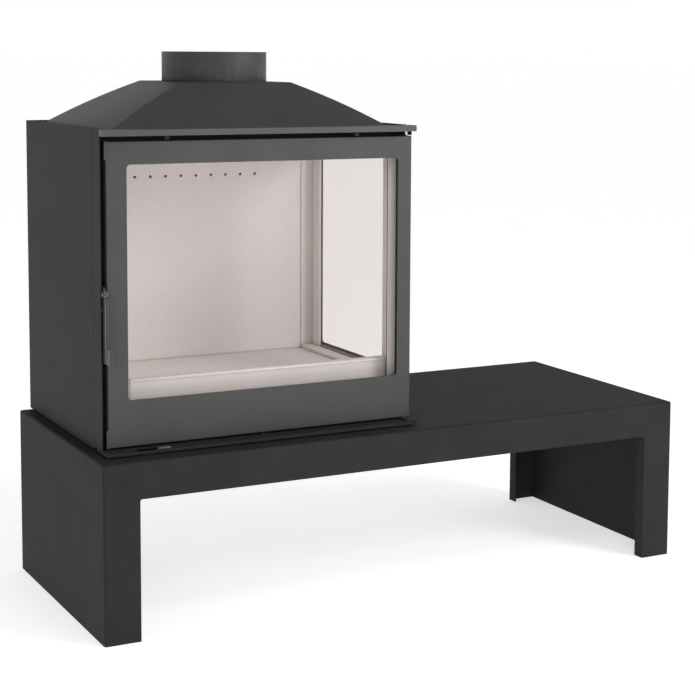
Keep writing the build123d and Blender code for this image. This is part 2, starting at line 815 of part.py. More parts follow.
rope = window_block(rope_outer_x, (door_back, door_back + rope_thickness), rope_outer_z, rope_corner)
rope -= window_block(
    rope_inner_x, (door_back - cut_margin, door_back + rope_thickness + cut_margin), rope_inner_z,
    rope_corner - rope_width,
)
parts["door_seal_rope"] = rope

# ---- hinges ----
bore = pin_radius + running_play
parts["hinge_bush_top"] = tube(bush_radius, bore, (hinge_x, hinge_y, bush_top_z), bush_length, "Z")
parts["hinge_bush_bottom"] = tube(
    bush_radius, bore, (hinge_x, hinge_y, door_bottom), bush_length, "Z"
)
pin_low = door_top - pin_in_bush
parts["hinge_pin_top"] = (
    rod(pin_radius, (hinge_x, hinge_y, pin_low), plate_top - pin_low, "Z")
    + rod(pin_head_radius, (hinge_x, hinge_y, plate_top), pin_head_height, "Z")
)
sill_under = sill_top - sill_sheet
parts["hinge_pin_bottom"] = rod(
    pin_radius, (hinge_x, hinge_y, sill_under), door_bottom + pin_in_bush - sill_under, "Z"
)
hinge_block = block(
    (right - block_width, right), (sill_front + block_from_edge, hinge_y + block_behind_pin),
    (sill_top, sill_top + block_height),
)
hinge_block = fillet(hinge_block.faces().sort_by(Axis.Z)[-1].edges(), block_edge_radius)
hinge_block -= rod(bore, (hinge_x, hinge_y, sill_top), block_height, "Z")
parts["hinge_block"] = hinge_block
washer_low = sill_top + block_height
parts["thrust_washer"] = tube(
    washer_radius, bore, (hinge_x, hinge_y, washer_low), door_bottom - hinge_play - washer_low, "Z"
)

# ---- handle and catch ----
lever_x = (door_left - lever_from_door - lever_thickness, door_left - lever_from_door)
bar_y = (front - lever_front, front - lever_front + lever_width)
paddle_top = pivot_z - lever_drop
paddle_y = (front - paddle_front, bar_y[1])
catch_y = front + catch_behind_front
catch_z = pivot_z - catch_drop
lever = block(lever_x, bar_y, (paddle_top, pivot_z))
lever = fillet(lever.edges().filter_by(Axis.X).group_by(Axis.Y)[0].sort_by(Axis.Z)[-1:], lever_shoulder)
lever += rod(hub_radius, (lever_x[0], pivot_y, pivot_z), lever_thickness, "X")
paddle = block(lever_x, paddle_y, (paddle_top - paddle_height, paddle_top))
paddle = fillet(paddle.edges().filter_by(Axis.X).group_by(Axis.Y)[-1].sort_by(Axis.Z)[:1], paddle_corner)
lever += paddle
slot_half = catch_radius + catch_gap
lever -= block(lever_x, (catch_y - slot_half, bar_y[1]), (catch_z - slot_half, catch_z + slot_half))
lever -= rod(pivot_screw_radius + running_play, (lever_x[0], pivot_y, pivot_z), lever_thickness, "X")
parts["handle_lever"] = lever

head_x = lever_x[0] - lever_play - pivot_head_height
parts["handle_pivot_screw"] = (
    rod(pivot_head_radius, (head_x, pivot_y, pivot_z), pivot_head_height, "X")
    + rod(pivot_screw_radius, (head_x, pivot_y, pivot_z), door_left + s - head_x, "X")
)
spacer_x = lever_x[1] + lever_play
parts["handle_spacer"] = tube(
    spacer_radius, pivot_screw_radius + running_play, (spacer_x, pivot_y, pivot_z),
    door_left - spacer_x, "X",
)
parts["catch_pin"] = rod(catch_radius, (left + cheek_sheet, catch_y, catch_z), catch_length, "X")

os.makedirs("parts", exist_ok=True)
for name, solid in parts.items():
    export_step(solid, f"parts/{name}.step")
print(len(parts), "nodes")
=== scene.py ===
import math

import bmesh
import bpy
from mathutils import Matrix, Vector


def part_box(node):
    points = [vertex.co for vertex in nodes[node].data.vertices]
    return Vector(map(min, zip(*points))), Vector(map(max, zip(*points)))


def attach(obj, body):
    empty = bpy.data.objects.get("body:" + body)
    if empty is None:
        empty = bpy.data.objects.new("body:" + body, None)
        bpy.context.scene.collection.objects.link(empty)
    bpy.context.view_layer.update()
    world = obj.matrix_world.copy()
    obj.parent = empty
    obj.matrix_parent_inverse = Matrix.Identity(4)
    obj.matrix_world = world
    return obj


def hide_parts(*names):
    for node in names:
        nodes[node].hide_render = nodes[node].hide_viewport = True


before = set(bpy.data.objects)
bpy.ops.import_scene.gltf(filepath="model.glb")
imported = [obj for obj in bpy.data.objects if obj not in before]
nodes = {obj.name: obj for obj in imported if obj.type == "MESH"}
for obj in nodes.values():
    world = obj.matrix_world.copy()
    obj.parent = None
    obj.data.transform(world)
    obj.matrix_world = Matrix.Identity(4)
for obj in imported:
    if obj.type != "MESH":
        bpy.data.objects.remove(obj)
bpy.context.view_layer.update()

# ---- camera ----
# It stands in front of the stove and to its left, a little higher than the stove, and looks
# slightly down at it through a long lens.
azimuth, fall, roll = (math.radians(angle) for angle in (28.36, 5.83, 0.41))
camera = bpy.data.objects.new("camera", bpy.data.cameras.new("camera"))
bpy.context.scene.collection.objects.link(camera)
camera.matrix_world = (
    Matrix.Translation((-1.7408, -3.4227, 1.1825))
    @ Matrix.Rotation(-azimuth, 4, "Z")
    @ Matrix.Rotation(math.pi / 2 - fall, 4, "X")
    @ Matrix.Rotation(roll, 4, "Z")
)
camera.data.lens = 86.9
camera.data.shift_x = -0.066
camera.data.shift_y = -0.175
camera.data.clip_end = 1000
bpy.context.scene.camera = camera
bpy.context.scene.view_settings.view_transform = "Standard"


# ---- studio ----
# A white room: a wide, even pale floor, soft light from all round that is stronger near the horizon,
# and soft lamps: in front of the door, to the left, above in front of the bench's edge, and a weak
# one under the baffle that lights the firebox.
def linear(hex_colour):
    """The linear colour, with an alpha of 1, of an sRGB hex colour."""
    parts = [int(hex_colour[i:i + 2], 16) / 255 for i in (1, 3, 5)]
    return [p / 12.92 if p <= 0.04045 else ((p + 0.055) / 1.055) ** 2.4 for p in parts] + [1.0]


def add(tree, kind, settings=None, inputs=None):
    """Adds a node, with its settings and with a value or a link for each named input."""
    node = tree.nodes.new(kind)
    for name, value in (settings or {}).items():
        setattr(node, name, value)
    for name, value in (inputs or {}).items():
        if isinstance(value, bpy.types.NodeSocket):
            tree.links.new(value, node.inputs[name])
        else:
            node.inputs[name].default_value = value
    return node


room = bpy.data.worlds.new("white_room")
room.use_nodes = True
bpy.context.scene.world = room
room.node_tree.nodes.clear()
ray = add(room.node_tree, "ShaderNodeLightPath")
place = add(room.node_tree, "ShaderNodeTexCoord")
height = add(room.node_tree, "ShaderNodeSeparateXYZ", {}, {"Vector": place.outputs["Generated"]})
horizon_light, overhead_light = 1.0, 0.25
fade = add(room.node_tree, "ShaderNodeMapRange", {}, {
    "Value": height.outputs["Z"], "From Min": 0.0, "From Max": 0.8,
    "To Min": horizon_light, "To Max": overhead_light,
})
seen = add(room.node_tree, "ShaderNodeMath", {"operation": "MAXIMUM"})
room.node_tree.links.new(ray.outputs["Is Camera Ray"], seen.inputs[0])
room.node_tree.links.new(ray.outputs["Is Transmission Ray"], seen.inputs[1])
strength = add(room.node_tree, "ShaderNodeMix", {}, {
    "Factor": seen.outputs[0], "A": fade.outputs[0], "B": 1.0,
})
glow = add(room.node_tree, "ShaderNodeBackground", {}, {
    "Color": linear("#FFFFFF"), "Strength": strength.outputs["Result"],
})
add(room.node_tree, "ShaderNodeOutputWorld", {}, {"Surface": glow.outputs[0]})

for name, where, target, size, power in (
    ("door_lamp", (1.9, -3.0, 2.0), (0.0, -0.2, 0.85), 1.4, 60),
    ("left_lamp", (-3.4, -1.6, 1.6), (-0.6, 0.0, 0.6), 1.4, 5),
    ("edge_lamp", (-0.2, -2.4, 3.4), (-0.1, -0.2, 0.4), 1.2, 16),
    ("firebox_lamp", (-0.32, -0.06, 0.975), (-0.32, 0.2, 0.55), 0.2, 0.2),
):
    lamp = bpy.data.objects.new(name, bpy.data.lights.new(name, "AREA"))
    lamp.data.shape = "DISK"
    lamp.data.size = size
    lamp.data.energy = power
    lamp.location = where
    lamp.rotation_euler = (Vector(target) - Vector(where)).to_track_quat("-Z", "Y").to_euler()
    bpy.context.scene.collection.objects.link(lamp)


def as_object(name, mesh_data):
    """A scene object that holds the mesh, at the origin."""
    made = bpy.data.objects.new(name, mesh_data)
    bpy.context.scene.collection.objects.link(made)
    return made


def from_bmesh(name, bm):
    """Closes a bmesh into a new object with outward normals."""
    bmesh.ops.remove_doubles(bm, verts=bm.verts, dist=1e-6)
    bmesh.ops.recalc_face_normals(bm, faces=bm.faces)
    data = bpy.data.meshes.new(name)
    bm.to_mesh(data)
    bm.free()
    return as_object(name, data)


def new_material(name, **shader_inputs):
    """A material with one Principled shader: the material, its tree, the shader and object coordinates."""
    made = bpy.data.materials.new(name)
    made.use_nodes = True
    tree = made.node_tree
    shader = tree.nodes["Principled BSDF"]
    for socket, value in shader_inputs.items():
        shader.inputs[socket.replace("_", " ")].default_value = value
    coords = add(tree, "ShaderNodeTexCoord").outputs["Object"]
    return made, tree, shader, coords


floor_radius = 400.0     # metres, so that the paper reaches the horizon
floor_gap = 0.0004       # metres below the bench's feet, so that the two never share a plane
bm = bmesh.new()
bmesh.ops.create_circle(bm, cap_ends=True, segments=96, radius=floor_radius)
bmesh.ops.translate(bm, verts=bm.verts, vec=(0, 0, -floor_gap))
floor = from_bmesh("studio_floor", bm)
if floor.data.polygons[0].normal.z < 0:
    floor.data.flip_normals()

# Matt white backdrop paper: it glows a little by itself, so that it stays even and nearly shadowless.
floor_paper, tree, shader, coords = new_material("white_paper_sweep", Roughness=0.9)
clouds_per_metre = 3.0
clouds = add(tree, "ShaderNodeTexNoise", {}, {"Vector": coords, "Scale": clouds_per_metre})
tone = add(tree, "ShaderNodeMix", {"data_type": "RGBA"}, {"Factor": clouds.outputs["Fac"]})
tone.inputs["A"].default_value = linear("#F4F4F4")
tone.inputs["B"].default_value = linear("#F8F8F8")
tree.links.new(tone.outputs["Result"], shader.inputs["Base Color"])
tree.links.new(tone.outputs["Result"], shader.inputs["Emission Color"])
shader.inputs["Emission Strength"].default_value = 0.65
floor.data.materials.append(floor_paper)


# ---- bench ----
# Three pieces of 4 mm sheet steel, folded and mitred: the top with its aprons and the two ends.
# They are welded at the mitres and ground flush, three channels of 3 mm sheet stiffen the top from
# below, and all of it is sprayed with heat-resistant anthracite paint.
def stove_paint(name, light_colour, dark_colour, roughness, shine):
    """Sprayed heat-resistant paint: dead matt anthracite with a dry, faintly mottled coat."""
    made, tree, shader, coords = new_material(name, Roughness=roughness)
    shader.inputs["Specular IOR Level"].default_value = shine
    spray_patch = 0.09       # metres across one lighter or darker patch of the coat
    paint_grain = 0.0022     # a real grain of 0.3 mm is too fine to show, so it is drawn coarser
    patches = add(tree, "ShaderNodeTexNoise", {}, {
        "Vector": coords, "Scale": 1 / spray_patch, "Detail": 3.0, "Roughness": 0.55,
    })
    grain = add(tree, "ShaderNodeTexNoise", {}, {
        "Vector": coords, "Scale": 1 / paint_grain, "Detail": 2.0, "Roughness": 0.6,
    })
    mottle = add(tree, "ShaderNodeMix", {}, {
        "Factor": 0.4, "A": patches.outputs["Fac"], "B": grain.outputs["Fac"],
    })
    spread = add(tree, "ShaderNodeMapRange", {}, {
        "Value": mottle.outputs["Result"], "From Min": 0.35, "From Max": 0.65,
    })
    tone = add(tree, "ShaderNodeMix", {"data_type": "RGBA"}, {"Factor": spread.outputs[0]})
    tone.inputs["A"].default_value = linear(dark_colour)
    tone.inputs["B"].default_value = linear(light_colour)
    tree.links.new(tone.outputs["Result"], shader.inputs["Base Color"])
    dry = add(tree, "ShaderNodeMapRange", {}, {
        "Value": grain.outputs["Fac"], "From Min": 0.3, "From Max": 0.7,
        "To Min": roughness - 0.05, "To Max": roughness + 0.07,
    })
    tree.links.new(dry.outputs[0], shader.inputs["Roughness"])
    tooth = add(tree, "ShaderNodeBump", {}, {
        "Height": grain.outputs["Fac"], "Strength": 0.25, "Distance": 0.0002,
    })
    tree.links.new(tooth.outputs["Normal"], shader.inputs["Normal"])
    return made


def dress(name, material, edge=0.0, segments=2, edge_material=None):
    """Gives a CAD node its material and, with a width in metres, eases its sharp edges."""
    same_point = 1e-5                    # metres
    same_plane = math.radians(0.4)
    sharp_edge = math.radians(35)
    node = nodes[name]
    node.material_slots[0].material = material
    if edge:
        join = node.modifiers.new("join_faces", "WELD")
        join.merge_threshold = same_point
        flat = node.modifiers.new("flat_faces", "DECIMATE")
        flat.decimate_type = "DISSOLVE"
        flat.angle_limit = same_plane
        ease = node.modifiers.new("eased_edges", "BEVEL")
        ease.limit_method = "ANGLE"
        ease.angle_limit = sharp_edge
        ease.width = edge
        ease.segments = segments
        ease.harden_normals = True
        if edge_material:
            node.data.materials.append(edge_material)
            ease.material = 1
    return node


bench_coat = stove_paint("bench_heat_resistant_paint", "#303030", "#2A2A2A", 0.62, 0.07)
for name in ("bench_top", "bench_left_side", "bench_right_side"):
    dress(name, bench_coat, 0.0006)
dress("bench_stiffeners", bench_coat, 0.0008)

# ---- feet, bolts and nuts ----
# Four pressed fibre pads part the stove from the bench. Zinc-plated hexagon bolts come up through
# them from under the bench, into square nuts welded inside the stove's base plate.
# Pressed fibre: dull and dark brown-grey, with short strands showing in its face.
pad_board, tree, shader, coords = new_material("pressed_fibre_board", Roughness=0.85)
strands_per_metre = 450.0     # a strand shows a little over 2 mm long
strands = add(tree, "ShaderNodeTexNoise", {}, {
    "Vector": coords, "Scale": strands_per_metre, "Detail": 4.0,
})
tone = add(tree, "ShaderNodeMix", {"data_type": "RGBA"}, {"Factor": strands.outputs["Fac"]})
tone.inputs["A"].default_value = linear("#2A2826")
tone.inputs["B"].default_value = linear("#4A4642")
tree.links.new(tone.outputs["Result"], shader.inputs["Base Color"])
dress("foot_pads", pad_board, 0.0004)


def bare_metal(name, light_colour, dark_colour, roughness, grain, stretch=(1, 1, 1), bump=0.15):
    """Unpainted metal: grain is a mark's width in metres, and stretch draws the marks out along an axis."""
    made, tree, shader, coords = new_material(name, Metallic=1.0, Roughness=roughness)
    drawn = add(tree, "ShaderNodeMapping", {}, {"Vector": coords, "Scale": stretch})
    marks = add(tree, "ShaderNodeTexNoise", {}, {
        "Vector": drawn.outputs[0], "Scale": 1 / grain, "Detail": 3.0, "Roughness": 0.65,
    })
    tone = add(tree, "ShaderNodeMix", {"data_type": "RGBA"}, {"Factor": marks.outputs["Fac"]})
    tone.inputs["A"].default_value = linear(dark_colour)
    tone.inputs["B"].default_value = linear(light_colour)
    tree.links.new(tone.outputs["Result"], shader.inputs["Base Color"])
    polish = add(tree, "ShaderNodeMapRange", {}, {
        "Value": marks.outputs["Fac"], "From Min": 0.3, "From Max": 0.7,
        "To Min": roughness - 0.07, "To Max": roughness + 0.1,
    })
    tree.links.new(polish.outputs[0], shader.inputs["Roughness"])
    ridges = add(tree, "ShaderNodeBump", {}, {
        "Height": marks.outputs["Fac"], "Strength": bump, "Distance": 0.0001,
    })
    tree.links.new(ridges.outputs["Normal"], shader.inputs["Normal"])
    return made


# Zinc plating is bright and slightly blue, with soft patches. Hot-rolled steel keeps a dull dark skin.
zinc = bare_metal("zinc_plated_steel", "#C9CCD2", "#9A9DA6", 0.34, 0.006)
mill_steel = bare_metal("hot_rolled_steel", "#6E6E72", "#4C4C50", 0.55, 0.02)
dress("bench_bolts", zinc, 0.0004)
dress("weld_nuts", mill_steel, 0.0004)

# ---- stove body ----
# Base, back, left side, top and the glazed right side are 3 and 4 mm sheet, welded into a box.
# The front frame inside it has the mouth, the air ports and a cheek folded forward on the left.
body_coat = stove_paint("stove_heat_resistant_paint", "#313131", "#2C2C2C", 0.6, 0.09)
for name in ("base_plate", "back_panel", "left_side_panel", "right_side_frame", "top_plate"):
    dress(name, body_coat, 0.0007)
dress("front_frame", body_coat, 0.0005)

# ---- lip, sill and door rest ----
# The lip is a folded 3 mm angle along the top of the front. The sill is a folded tray that carries
# the door's lower hinge and the air slider, with a small welded stop for the closed door.
# The lip's coat is smoother and shinier than the body's, and its colour is painted lighter, for the light
# from above that catches it, so it shows as a paler line.
lip_coat = stove_paint("lip_heat_resistant_paint", "#4C4C4C", "#444444", 0.46, 0.35)
dress("top_lip", lip_coat, 0.0004)
dress("lip_clips", body_coat, 0.0004)
dress("front_sill", body_coat, 0.0004)
dress("door_rest", body_coat, 0.0005)

# ---- smoke hood and flue collar ----
# Four bowed flanks of 3 mm sheet, welded along their corners and ground smooth, with a rolled and
# welded collar on top that takes the flue pipe.
# The hood's coat is smoother than the body's, so that its flanks differ in tone.
hood_coat = stove_paint("hood_heat_resistant_paint", "#3F3F3F", "#393939", 0.5, 0.3)
dress("smoke_hood", hood_coat, 0.0012, 3)
dress("flue_collar", hood_coat, 0.0006)

# ---- air control ----
# A 2 mm slider plate runs in a guide in front of the air ports. The bent arm welded to it ends in
# the tab that stands up through the slot in the sill. All of it is bare cold-rolled sheet.

# Cold-rolled sheet is dull grey, with faint lines along the way it was rolled.
slider_sheet = bare_metal("cold_rolled_sheet", "#77777A", "#5C5C60", 0.5, 0.003, (0.1, 1, 1))
dress("air_slider", slider_sheet, 0.0004)
dress("air_control_arm", slider_sheet, 0.0004)
dress("slider_guide", slider_sheet, 0.0003)

# ---- firebox ----
# Boards of pressed vermiculite stand loose inside the steel box, on a steel floor plate: they are
# pale and slightly pink, dry and speckled with fine flakes, and their edges are broken.
board, tree, shader, coords = new_material("pressed_vermiculite", Roughness=0.88)
shader.inputs["Specular IOR Level"].default_value = 0.2
flake = 0.0035           # metres across a vermiculite flake
flakes = add(tree, "ShaderNodeTexVoronoi", {}, {"Vector": coords, "Scale": 1 / flake})
flake_tone = add(tree, "ShaderNodeSeparateColor", {}, {"Color": flakes.outputs["Color"]})
soot_patches_per_metre = 7.0
soot = add(tree, "ShaderNodeTexNoise", {}, {
    "Vector": coords, "Scale": soot_patches_per_metre, "Detail": 4.0,
})
mottle = add(tree, "ShaderNodeMix", {}, {
    "Factor": 0.5, "A": flake_tone.outputs["Red"], "B": soot.outputs["Fac"],
})
tone = add(tree, "ShaderNodeMix", {"data_type": "RGBA"}, {"Factor": mottle.outputs["Result"]})
tone.inputs["A"].default_value = linear("#DED6D4")
tone.inputs["B"].default_value = linear("#E8E2E0")


def painted_corner_shade(tree, shader, own_colour, shade_colour, reach):
    """Painted shade: the colour turns darker where surfaces meet, in joints and inner corners, where shade
    falls.
    """
    shaded_below, unshaded_above = 0.45, 0.85     # share of the sky over the surface that is open
    nearby = add(tree, "ShaderNodeAmbientOcclusion", {"samples": 8}, {"Distance": reach})
    sheltered = add(tree, "ShaderNodeMapRange", {}, {
        "Value": nearby.outputs["AO"], "From Min": shaded_below, "From Max": unshaded_above,
    })
    corner_shade_tone = add(tree, "ShaderNodeMix", {"data_type": "RGBA"}, {"Factor": sheltered.outputs[0]})
    corner_shade_tone.inputs["A"].default_value = linear(shade_colour)
    tree.links.new(own_colour, corner_shade_tone.inputs["B"])
    tree.links.new(corner_shade_tone.outputs["Result"], shader.inputs["Base Color"])


# Painted shade: the boards' colour is darkened in their joints and inner corners, where shade falls.
painted_corner_shade(tree, shader, tone.outputs["Result"], "#BDB3AE", 0.008)
pressed = add(tree, "ShaderNodeBump", {}, {
    "Height": flake_tone.outputs["Red"], "Strength": 0.3, "Distance": 0.0003,
})
tree.links.new(pressed.outputs["Normal"], shader.inputs["Normal"])
for name in (
    "back_lining", "left_lining", "right_corner_lining", "right_sill_lining", "baffle_plate",
    "floor_board_left", "floor_board_middle", "floor_board_right",
):
    dress(name, board, 0.0012)
dress("floor_plate", mill_steel, 0.0004)
dress("rear_air_channel", mill_steel, 0.0003)
dress("baffle_rail", mill_steel, 0.0004)

# The bar that keeps the logs back, the post and the strip beside the mouth are folded from sheet
# and coated with a pale enamel, in the same tone as the boards: it looks smooth beside them.
enamel, tree, shader, coords = new_material("pale_heat_resistant_enamel", Roughness=0.45)
ripples_per_metre = 260.0     # one ripple of the fired coat is about 4 mm across
haze_patches_per_metre = 9.0
orange_peel = add(tree, "ShaderNodeTexNoise", {}, {
    "Vector": coords, "Scale": ripples_per_metre, "Detail": 2.0,
})
haze = add(tree, "ShaderNodeTexNoise", {}, {
    "Vector": coords, "Scale": haze_patches_per_metre, "Detail": 3.0,
})
tone = add(tree, "ShaderNodeMix", {"data_type": "RGBA"}, {"Factor": haze.outputs["Fac"]})
tone.inputs["A"].default_value = linear("#D6CDC9")
tone.inputs["B"].default_value = linear("#E0D8D4")
# Painted shade: the enamel's colour is darkened in inner corners and under the retainer's rim, where shade
# falls.
painted_corner_shade(tree, shader, tone.outputs["Result"], "#BCB2AD", 0.004)
ripple = add(tree, "ShaderNodeBump", {}, {
    "Height": orange_peel.outputs["Fac"], "Strength": 0.15, "Distance": 0.0001,
})
tree.links.new(ripple.outputs["Normal"], shader.inputs["Normal"])
dress("log_retainer", enamel, 0.001)
dress("front_post", enamel, 0.0005)
dress("mouth_trim", enamel, 0.0003)


# ---- side window ----
# One pane of clear ceramic glass, bedded on woven glass fibre tape. Two folded, zinc-plated steel
# strips hold it from inside, along its top and its foot, with three button-head screws each.
def ceramic_glass(name, light_tint, deep_tint, body):
    """Clear ceramic glass: nearly all light goes straight through, less of it at a flat angle."""
    streaks_per_metre = 4.0
    grazing_body = 0.8       # how much the pane covers at the flattest angle
    grazing_power = 5.0      # how late that comes in
    made, tree, shader, coords = new_material(name, Roughness=0.03, IOR=1.5)
    melt = add(tree, "ShaderNodeTexNoise", {}, {
        "Vector": coords, "Scale": streaks_per_metre, "Detail": 1.0,
    })
    tone = add(tree, "ShaderNodeMix", {"data_type": "RGBA"}, {"Factor": melt.outputs["Fac"]})
    tone.inputs["A"].default_value = linear(deep_tint)
    tone.inputs["B"].default_value = linear(light_tint)
    tree.links.new(tone.outputs["Result"], shader.inputs["Base Color"])
    slant = add(tree, "ShaderNodeLayerWeight", {}, {"Blend": 0.5})
    steep = add(tree, "ShaderNodeMath", {"operation": "POWER"})
    tree.links.new(slant.outputs["Facing"], steep.inputs[0])
    steep.inputs[1].default_value = grazing_power
    cover = add(tree, "ShaderNodeMapRange", {}, {
        "Value": steep.outputs[0], "To Min": body, "To Max": grazing_body,
    })
    tree.links.new(cover.outputs[0], shader.inputs["Alpha"])
    return made


side_pane = ceramic_glass("amber_ceramic_glass", "#C68638", "#B8762A", 0.12)
dress("side_glass", side_pane, 0.0006)

# Graphite-coated woven tape: dark grey and dull, with a raised plain weave.
tape, tree, shader, coords = new_material("woven_glass_fibre_tape", Roughness=0.8)
thread = 0.0016          # metres between threads, drawn twice as coarse as the real tape's
threads = [
    add(tree, "ShaderNodeTexWave", {"bands_direction": direction}, {
        "Vector": coords, "Scale": 0.5 / thread / math.pi,
    })
    for direction in ("X", "Z")
]
weave = add(tree, "ShaderNodeMix", {}, {
    "Factor": 0.5, "A": threads[0].outputs["Fac"], "B": threads[1].outputs["Fac"],
})
tone = add(tree, "ShaderNodeMix", {"data_type": "RGBA"}, {"Factor": weave.outputs["Result"]})
tone.inputs["A"].default_value = linear("#1E1E1F")
tone.inputs["B"].default_value = linear("#4A4A4C")
tree.links.new(tone.outputs["Result"], shader.inputs["Base Color"])
raised = add(tree, "ShaderNodeBump", {}, {
    "Height": weave.outputs["Result"], "Strength": 0.8, "Distance": 0.0004,
})
tree.links.new(raised.outputs["Normal"], shader.inputs["Normal"])
dress("side_glass_gasket", tape)
dress("side_glass_retainers", zinc, 0.0003)


def solid_boxes(name):
    """The lowest and highest corner of each separate solid in a CAD node."""
    bm = bmesh.new()
    bm.from_mesh(nodes[name].data)
    bmesh.ops.remove_doubles(bm, verts=bm.verts, dist=1e-5)
    waiting, boxes = set(bm.verts), []
    while waiting:
        found, border = set(), {waiting.pop()}
        while border:
            found |= border
            border = {e.other_vert(v) for v in border for e in v.link_edges} - found
        waiting -= found
        boxes.append((
            Vector([min(v.co[i] for v in found) for i in range(3)]),
            Vector([max(v.co[i] for v in found) for i in range(3)]),
        ))
    bm.free()
    return boxes


def smooth(made):
    """Shades every face of the piece smoothly."""
    for face in made.data.polygons:
        face.use_smooth = True


def extrude_ring(bm, edges):
    """Extrudes a ring of edges where it stands: the new ring's vertices and its edges."""
    out = bmesh.ops.extrude_edge_only(bm, edges=edges)["geom"]
    ring = [g for g in out if isinstance(g, bmesh.types.BMVert)]
    return ring, [g for g in out if isinstance(g, bmesh.types.BMEdge)]


def button_screw(bm, head_point, into, head_radius, head_height, shank_radius, length):
    """A button-head screw with a hexagon socket: head_point is the head's underside, into its way in."""
    ring = bmesh.ops.create_circle(bm, cap_ends=False, segments=24, radius=shank_radius)["verts"]
    made = list(ring)
    edges = list({e for v in ring for e in v.link_edges})
    bmesh.ops.translate(bm, verts=ring, vec=(0, 0, -length))
    bmesh.ops.contextual_create(bm, geom=edges)
    profile = [(shank_radius, length), (head_radius, 0.0)]     # a ring's radius and its rise
    for share, rise in ((1.0, 0.35), (0.93, 0.3), (0.78, 0.22), (0.56, 0.13)):
        profile.append((share * head_radius, rise * head_height))
    for radius, lift in profile:
        ring, edges = extrude_ring(bm, edges)
        made += ring
        old_radius = max(v.co.xy.length for v in ring)
        bmesh.ops.scale(bm, verts=ring, vec=(radius / old_radius, radius / old_radius, 1))
        bmesh.ops.translate(bm, verts=ring, vec=(0, 0, lift))
    socket_reach = 0.5 * head_radius     # from the axis to a corner of the hexagon
    socket_depth = 0.6 * head_height
    ring, edges = extrude_ring(bm, edges)
    made += ring
    for v in ring:
        turn = math.atan2(v.co.y, v.co.x) % (math.pi / 3) - math.pi / 6
        v.co.xy = v.co.xy.normalized() * (socket_reach * math.cos(math.pi / 6) / math.cos(turn))
    ring, edges = extrude_ring(bm, edges)
    made += ring
    bmesh.ops.translate(bm, verts=ring, vec=(0, 0, -socket_depth))
    bmesh.ops.contextual_create(bm, geom=edges)
    turn = Vector((0, 0, -1)).rotation_difference(into).to_matrix().to_4x4()
    bmesh.ops.transform(bm, matrix=Matrix.Translation(head_point) @ turn, verts=made)


def screws(name, node, into, head_height, shank_radius):
    """One object with a button-head screw in the place of each solid of the CAD node."""
    bm = bmesh.new()
    axis = max(range(3), key=lambda i: abs(into[i]))
    for low, high in solid_boxes(node):
        middle = (low + high) / 2
        across = [i for i in range(3) if i != axis][0]
        head_radius = (high - low)[across] / 2
        outer = high[axis] if into[axis] < 0 else low[axis]
        middle[axis] = outer + into[axis] * head_height
        length = (high - low)[axis] - head_height
        button_screw(bm, middle, into, head_radius, head_height, shank_radius, length)
    made = from_bmesh(name, bm)
    smooth(made)
    made.data.set_sharp_from_angle(angle=math.radians(30))
    made.data.materials.append(zinc)
    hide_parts(node)
    return made


glass_screw_head, glass_screw_shank = 0.003, 0.0025     # the head's height, the shank's radius
side_screws = screws(
    "side_window_screws", "side_glass_screws", Vector((1, 0, 0)), glass_screw_head, glass_screw_shank
)
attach(side_screws, "stove")

# ---- door ----
# The frame is 3 mm sheet folded into a shallow tray with a rounded outer edge, with two rivets on
# its left stile. The pane lies on woven tape behind the window, held by zinc-plated clips.

# The door's coat is smoother than the body's: a satin grey that shades softly from edge to edge. Its colour
# is painted lighter than the body's, though it is the same paint, for the stronger light that falls on the
# door's front.
door_coat = stove_paint("door_heat_resistant_paint", "#454545", "#3E3E3E", 0.44, 0.3)
dress("door_frame", door_coat, 0.0005)
dress("door_glass", ceramic_glass("clear_ceramic_glass", "#8E847C", "#867C74", 0.02), 0.0006)
dress("door_glass_gasket", tape)
dress("door_glass_clips", zinc, 0.0003)
clip_screws = screws(
    "glass_clip_screws", "door_clip_screws", Vector((0, -1, 0)), glass_screw_head, glass_screw_shank
)
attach(clip_screws, "door")

rivet_height = 0.0008
bm = bmesh.new()
for low, high in solid_boxes("door_rivets"):
    middle = (low + high) / 2
    radius = (high.x - low.x) / 2
    dome = bmesh.ops.create_uvsphere(bm, u_segments=20, v_segments=12, radius=radius)["verts"]
    bmesh.ops.scale(bm, verts=dome, vec=(1, rivet_height / radius, 1))
    bmesh.ops.translate(bm, verts=dome, vec=(middle.x, high.y, middle.z))
rivets = from_bmesh("stile_rivets", bm)
smooth(rivets)
rivets.data.materials.append(door_coat)
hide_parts("door_rivets")
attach(rivets, "door")

# ---- door seal ----
# A rope braided from graphite-coated glass fibre, glued to the back of the door. It is pressed a
# little flat, and turns the corners of the door in easy bends.
rope_low, rope_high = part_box("door_seal_rope")
rope_width = 0.010
rope_corner = 0.015
strand_radius = 0.00125
braid_pitch = 0.024
strands_each_way = 4
steps_per_pitch = 12
rope_play = 0.0002       # metres left between the strands and the space that the rope fills
over_under = 0.35        # share of a strand's radius that it rises or dips where strands cross
rope_middle_y = (rope_low.y + rope_high.y) / 2
half_width = rope_width / 2 - strand_radius - rope_play
half_thick = (rope_high.y - rope_low.y) / 2 - strand_radius - rope_play
line_radius = rope_corner - rope_width / 2
line_x = (rope_low.x + rope_width / 2, rope_high.x - rope_width / 2)
line_z = (rope_low.z + rope_width / 2, rope_high.z - rope_width / 2)
run_x = line_x[1] - line_x[0] - 2 * line_radius
run_z = line_z[1] - line_z[0] - 2 * line_radius
arc = line_radius * math.pi / 2
rope_length = 2 * (run_x + run_z) + 4 * arc


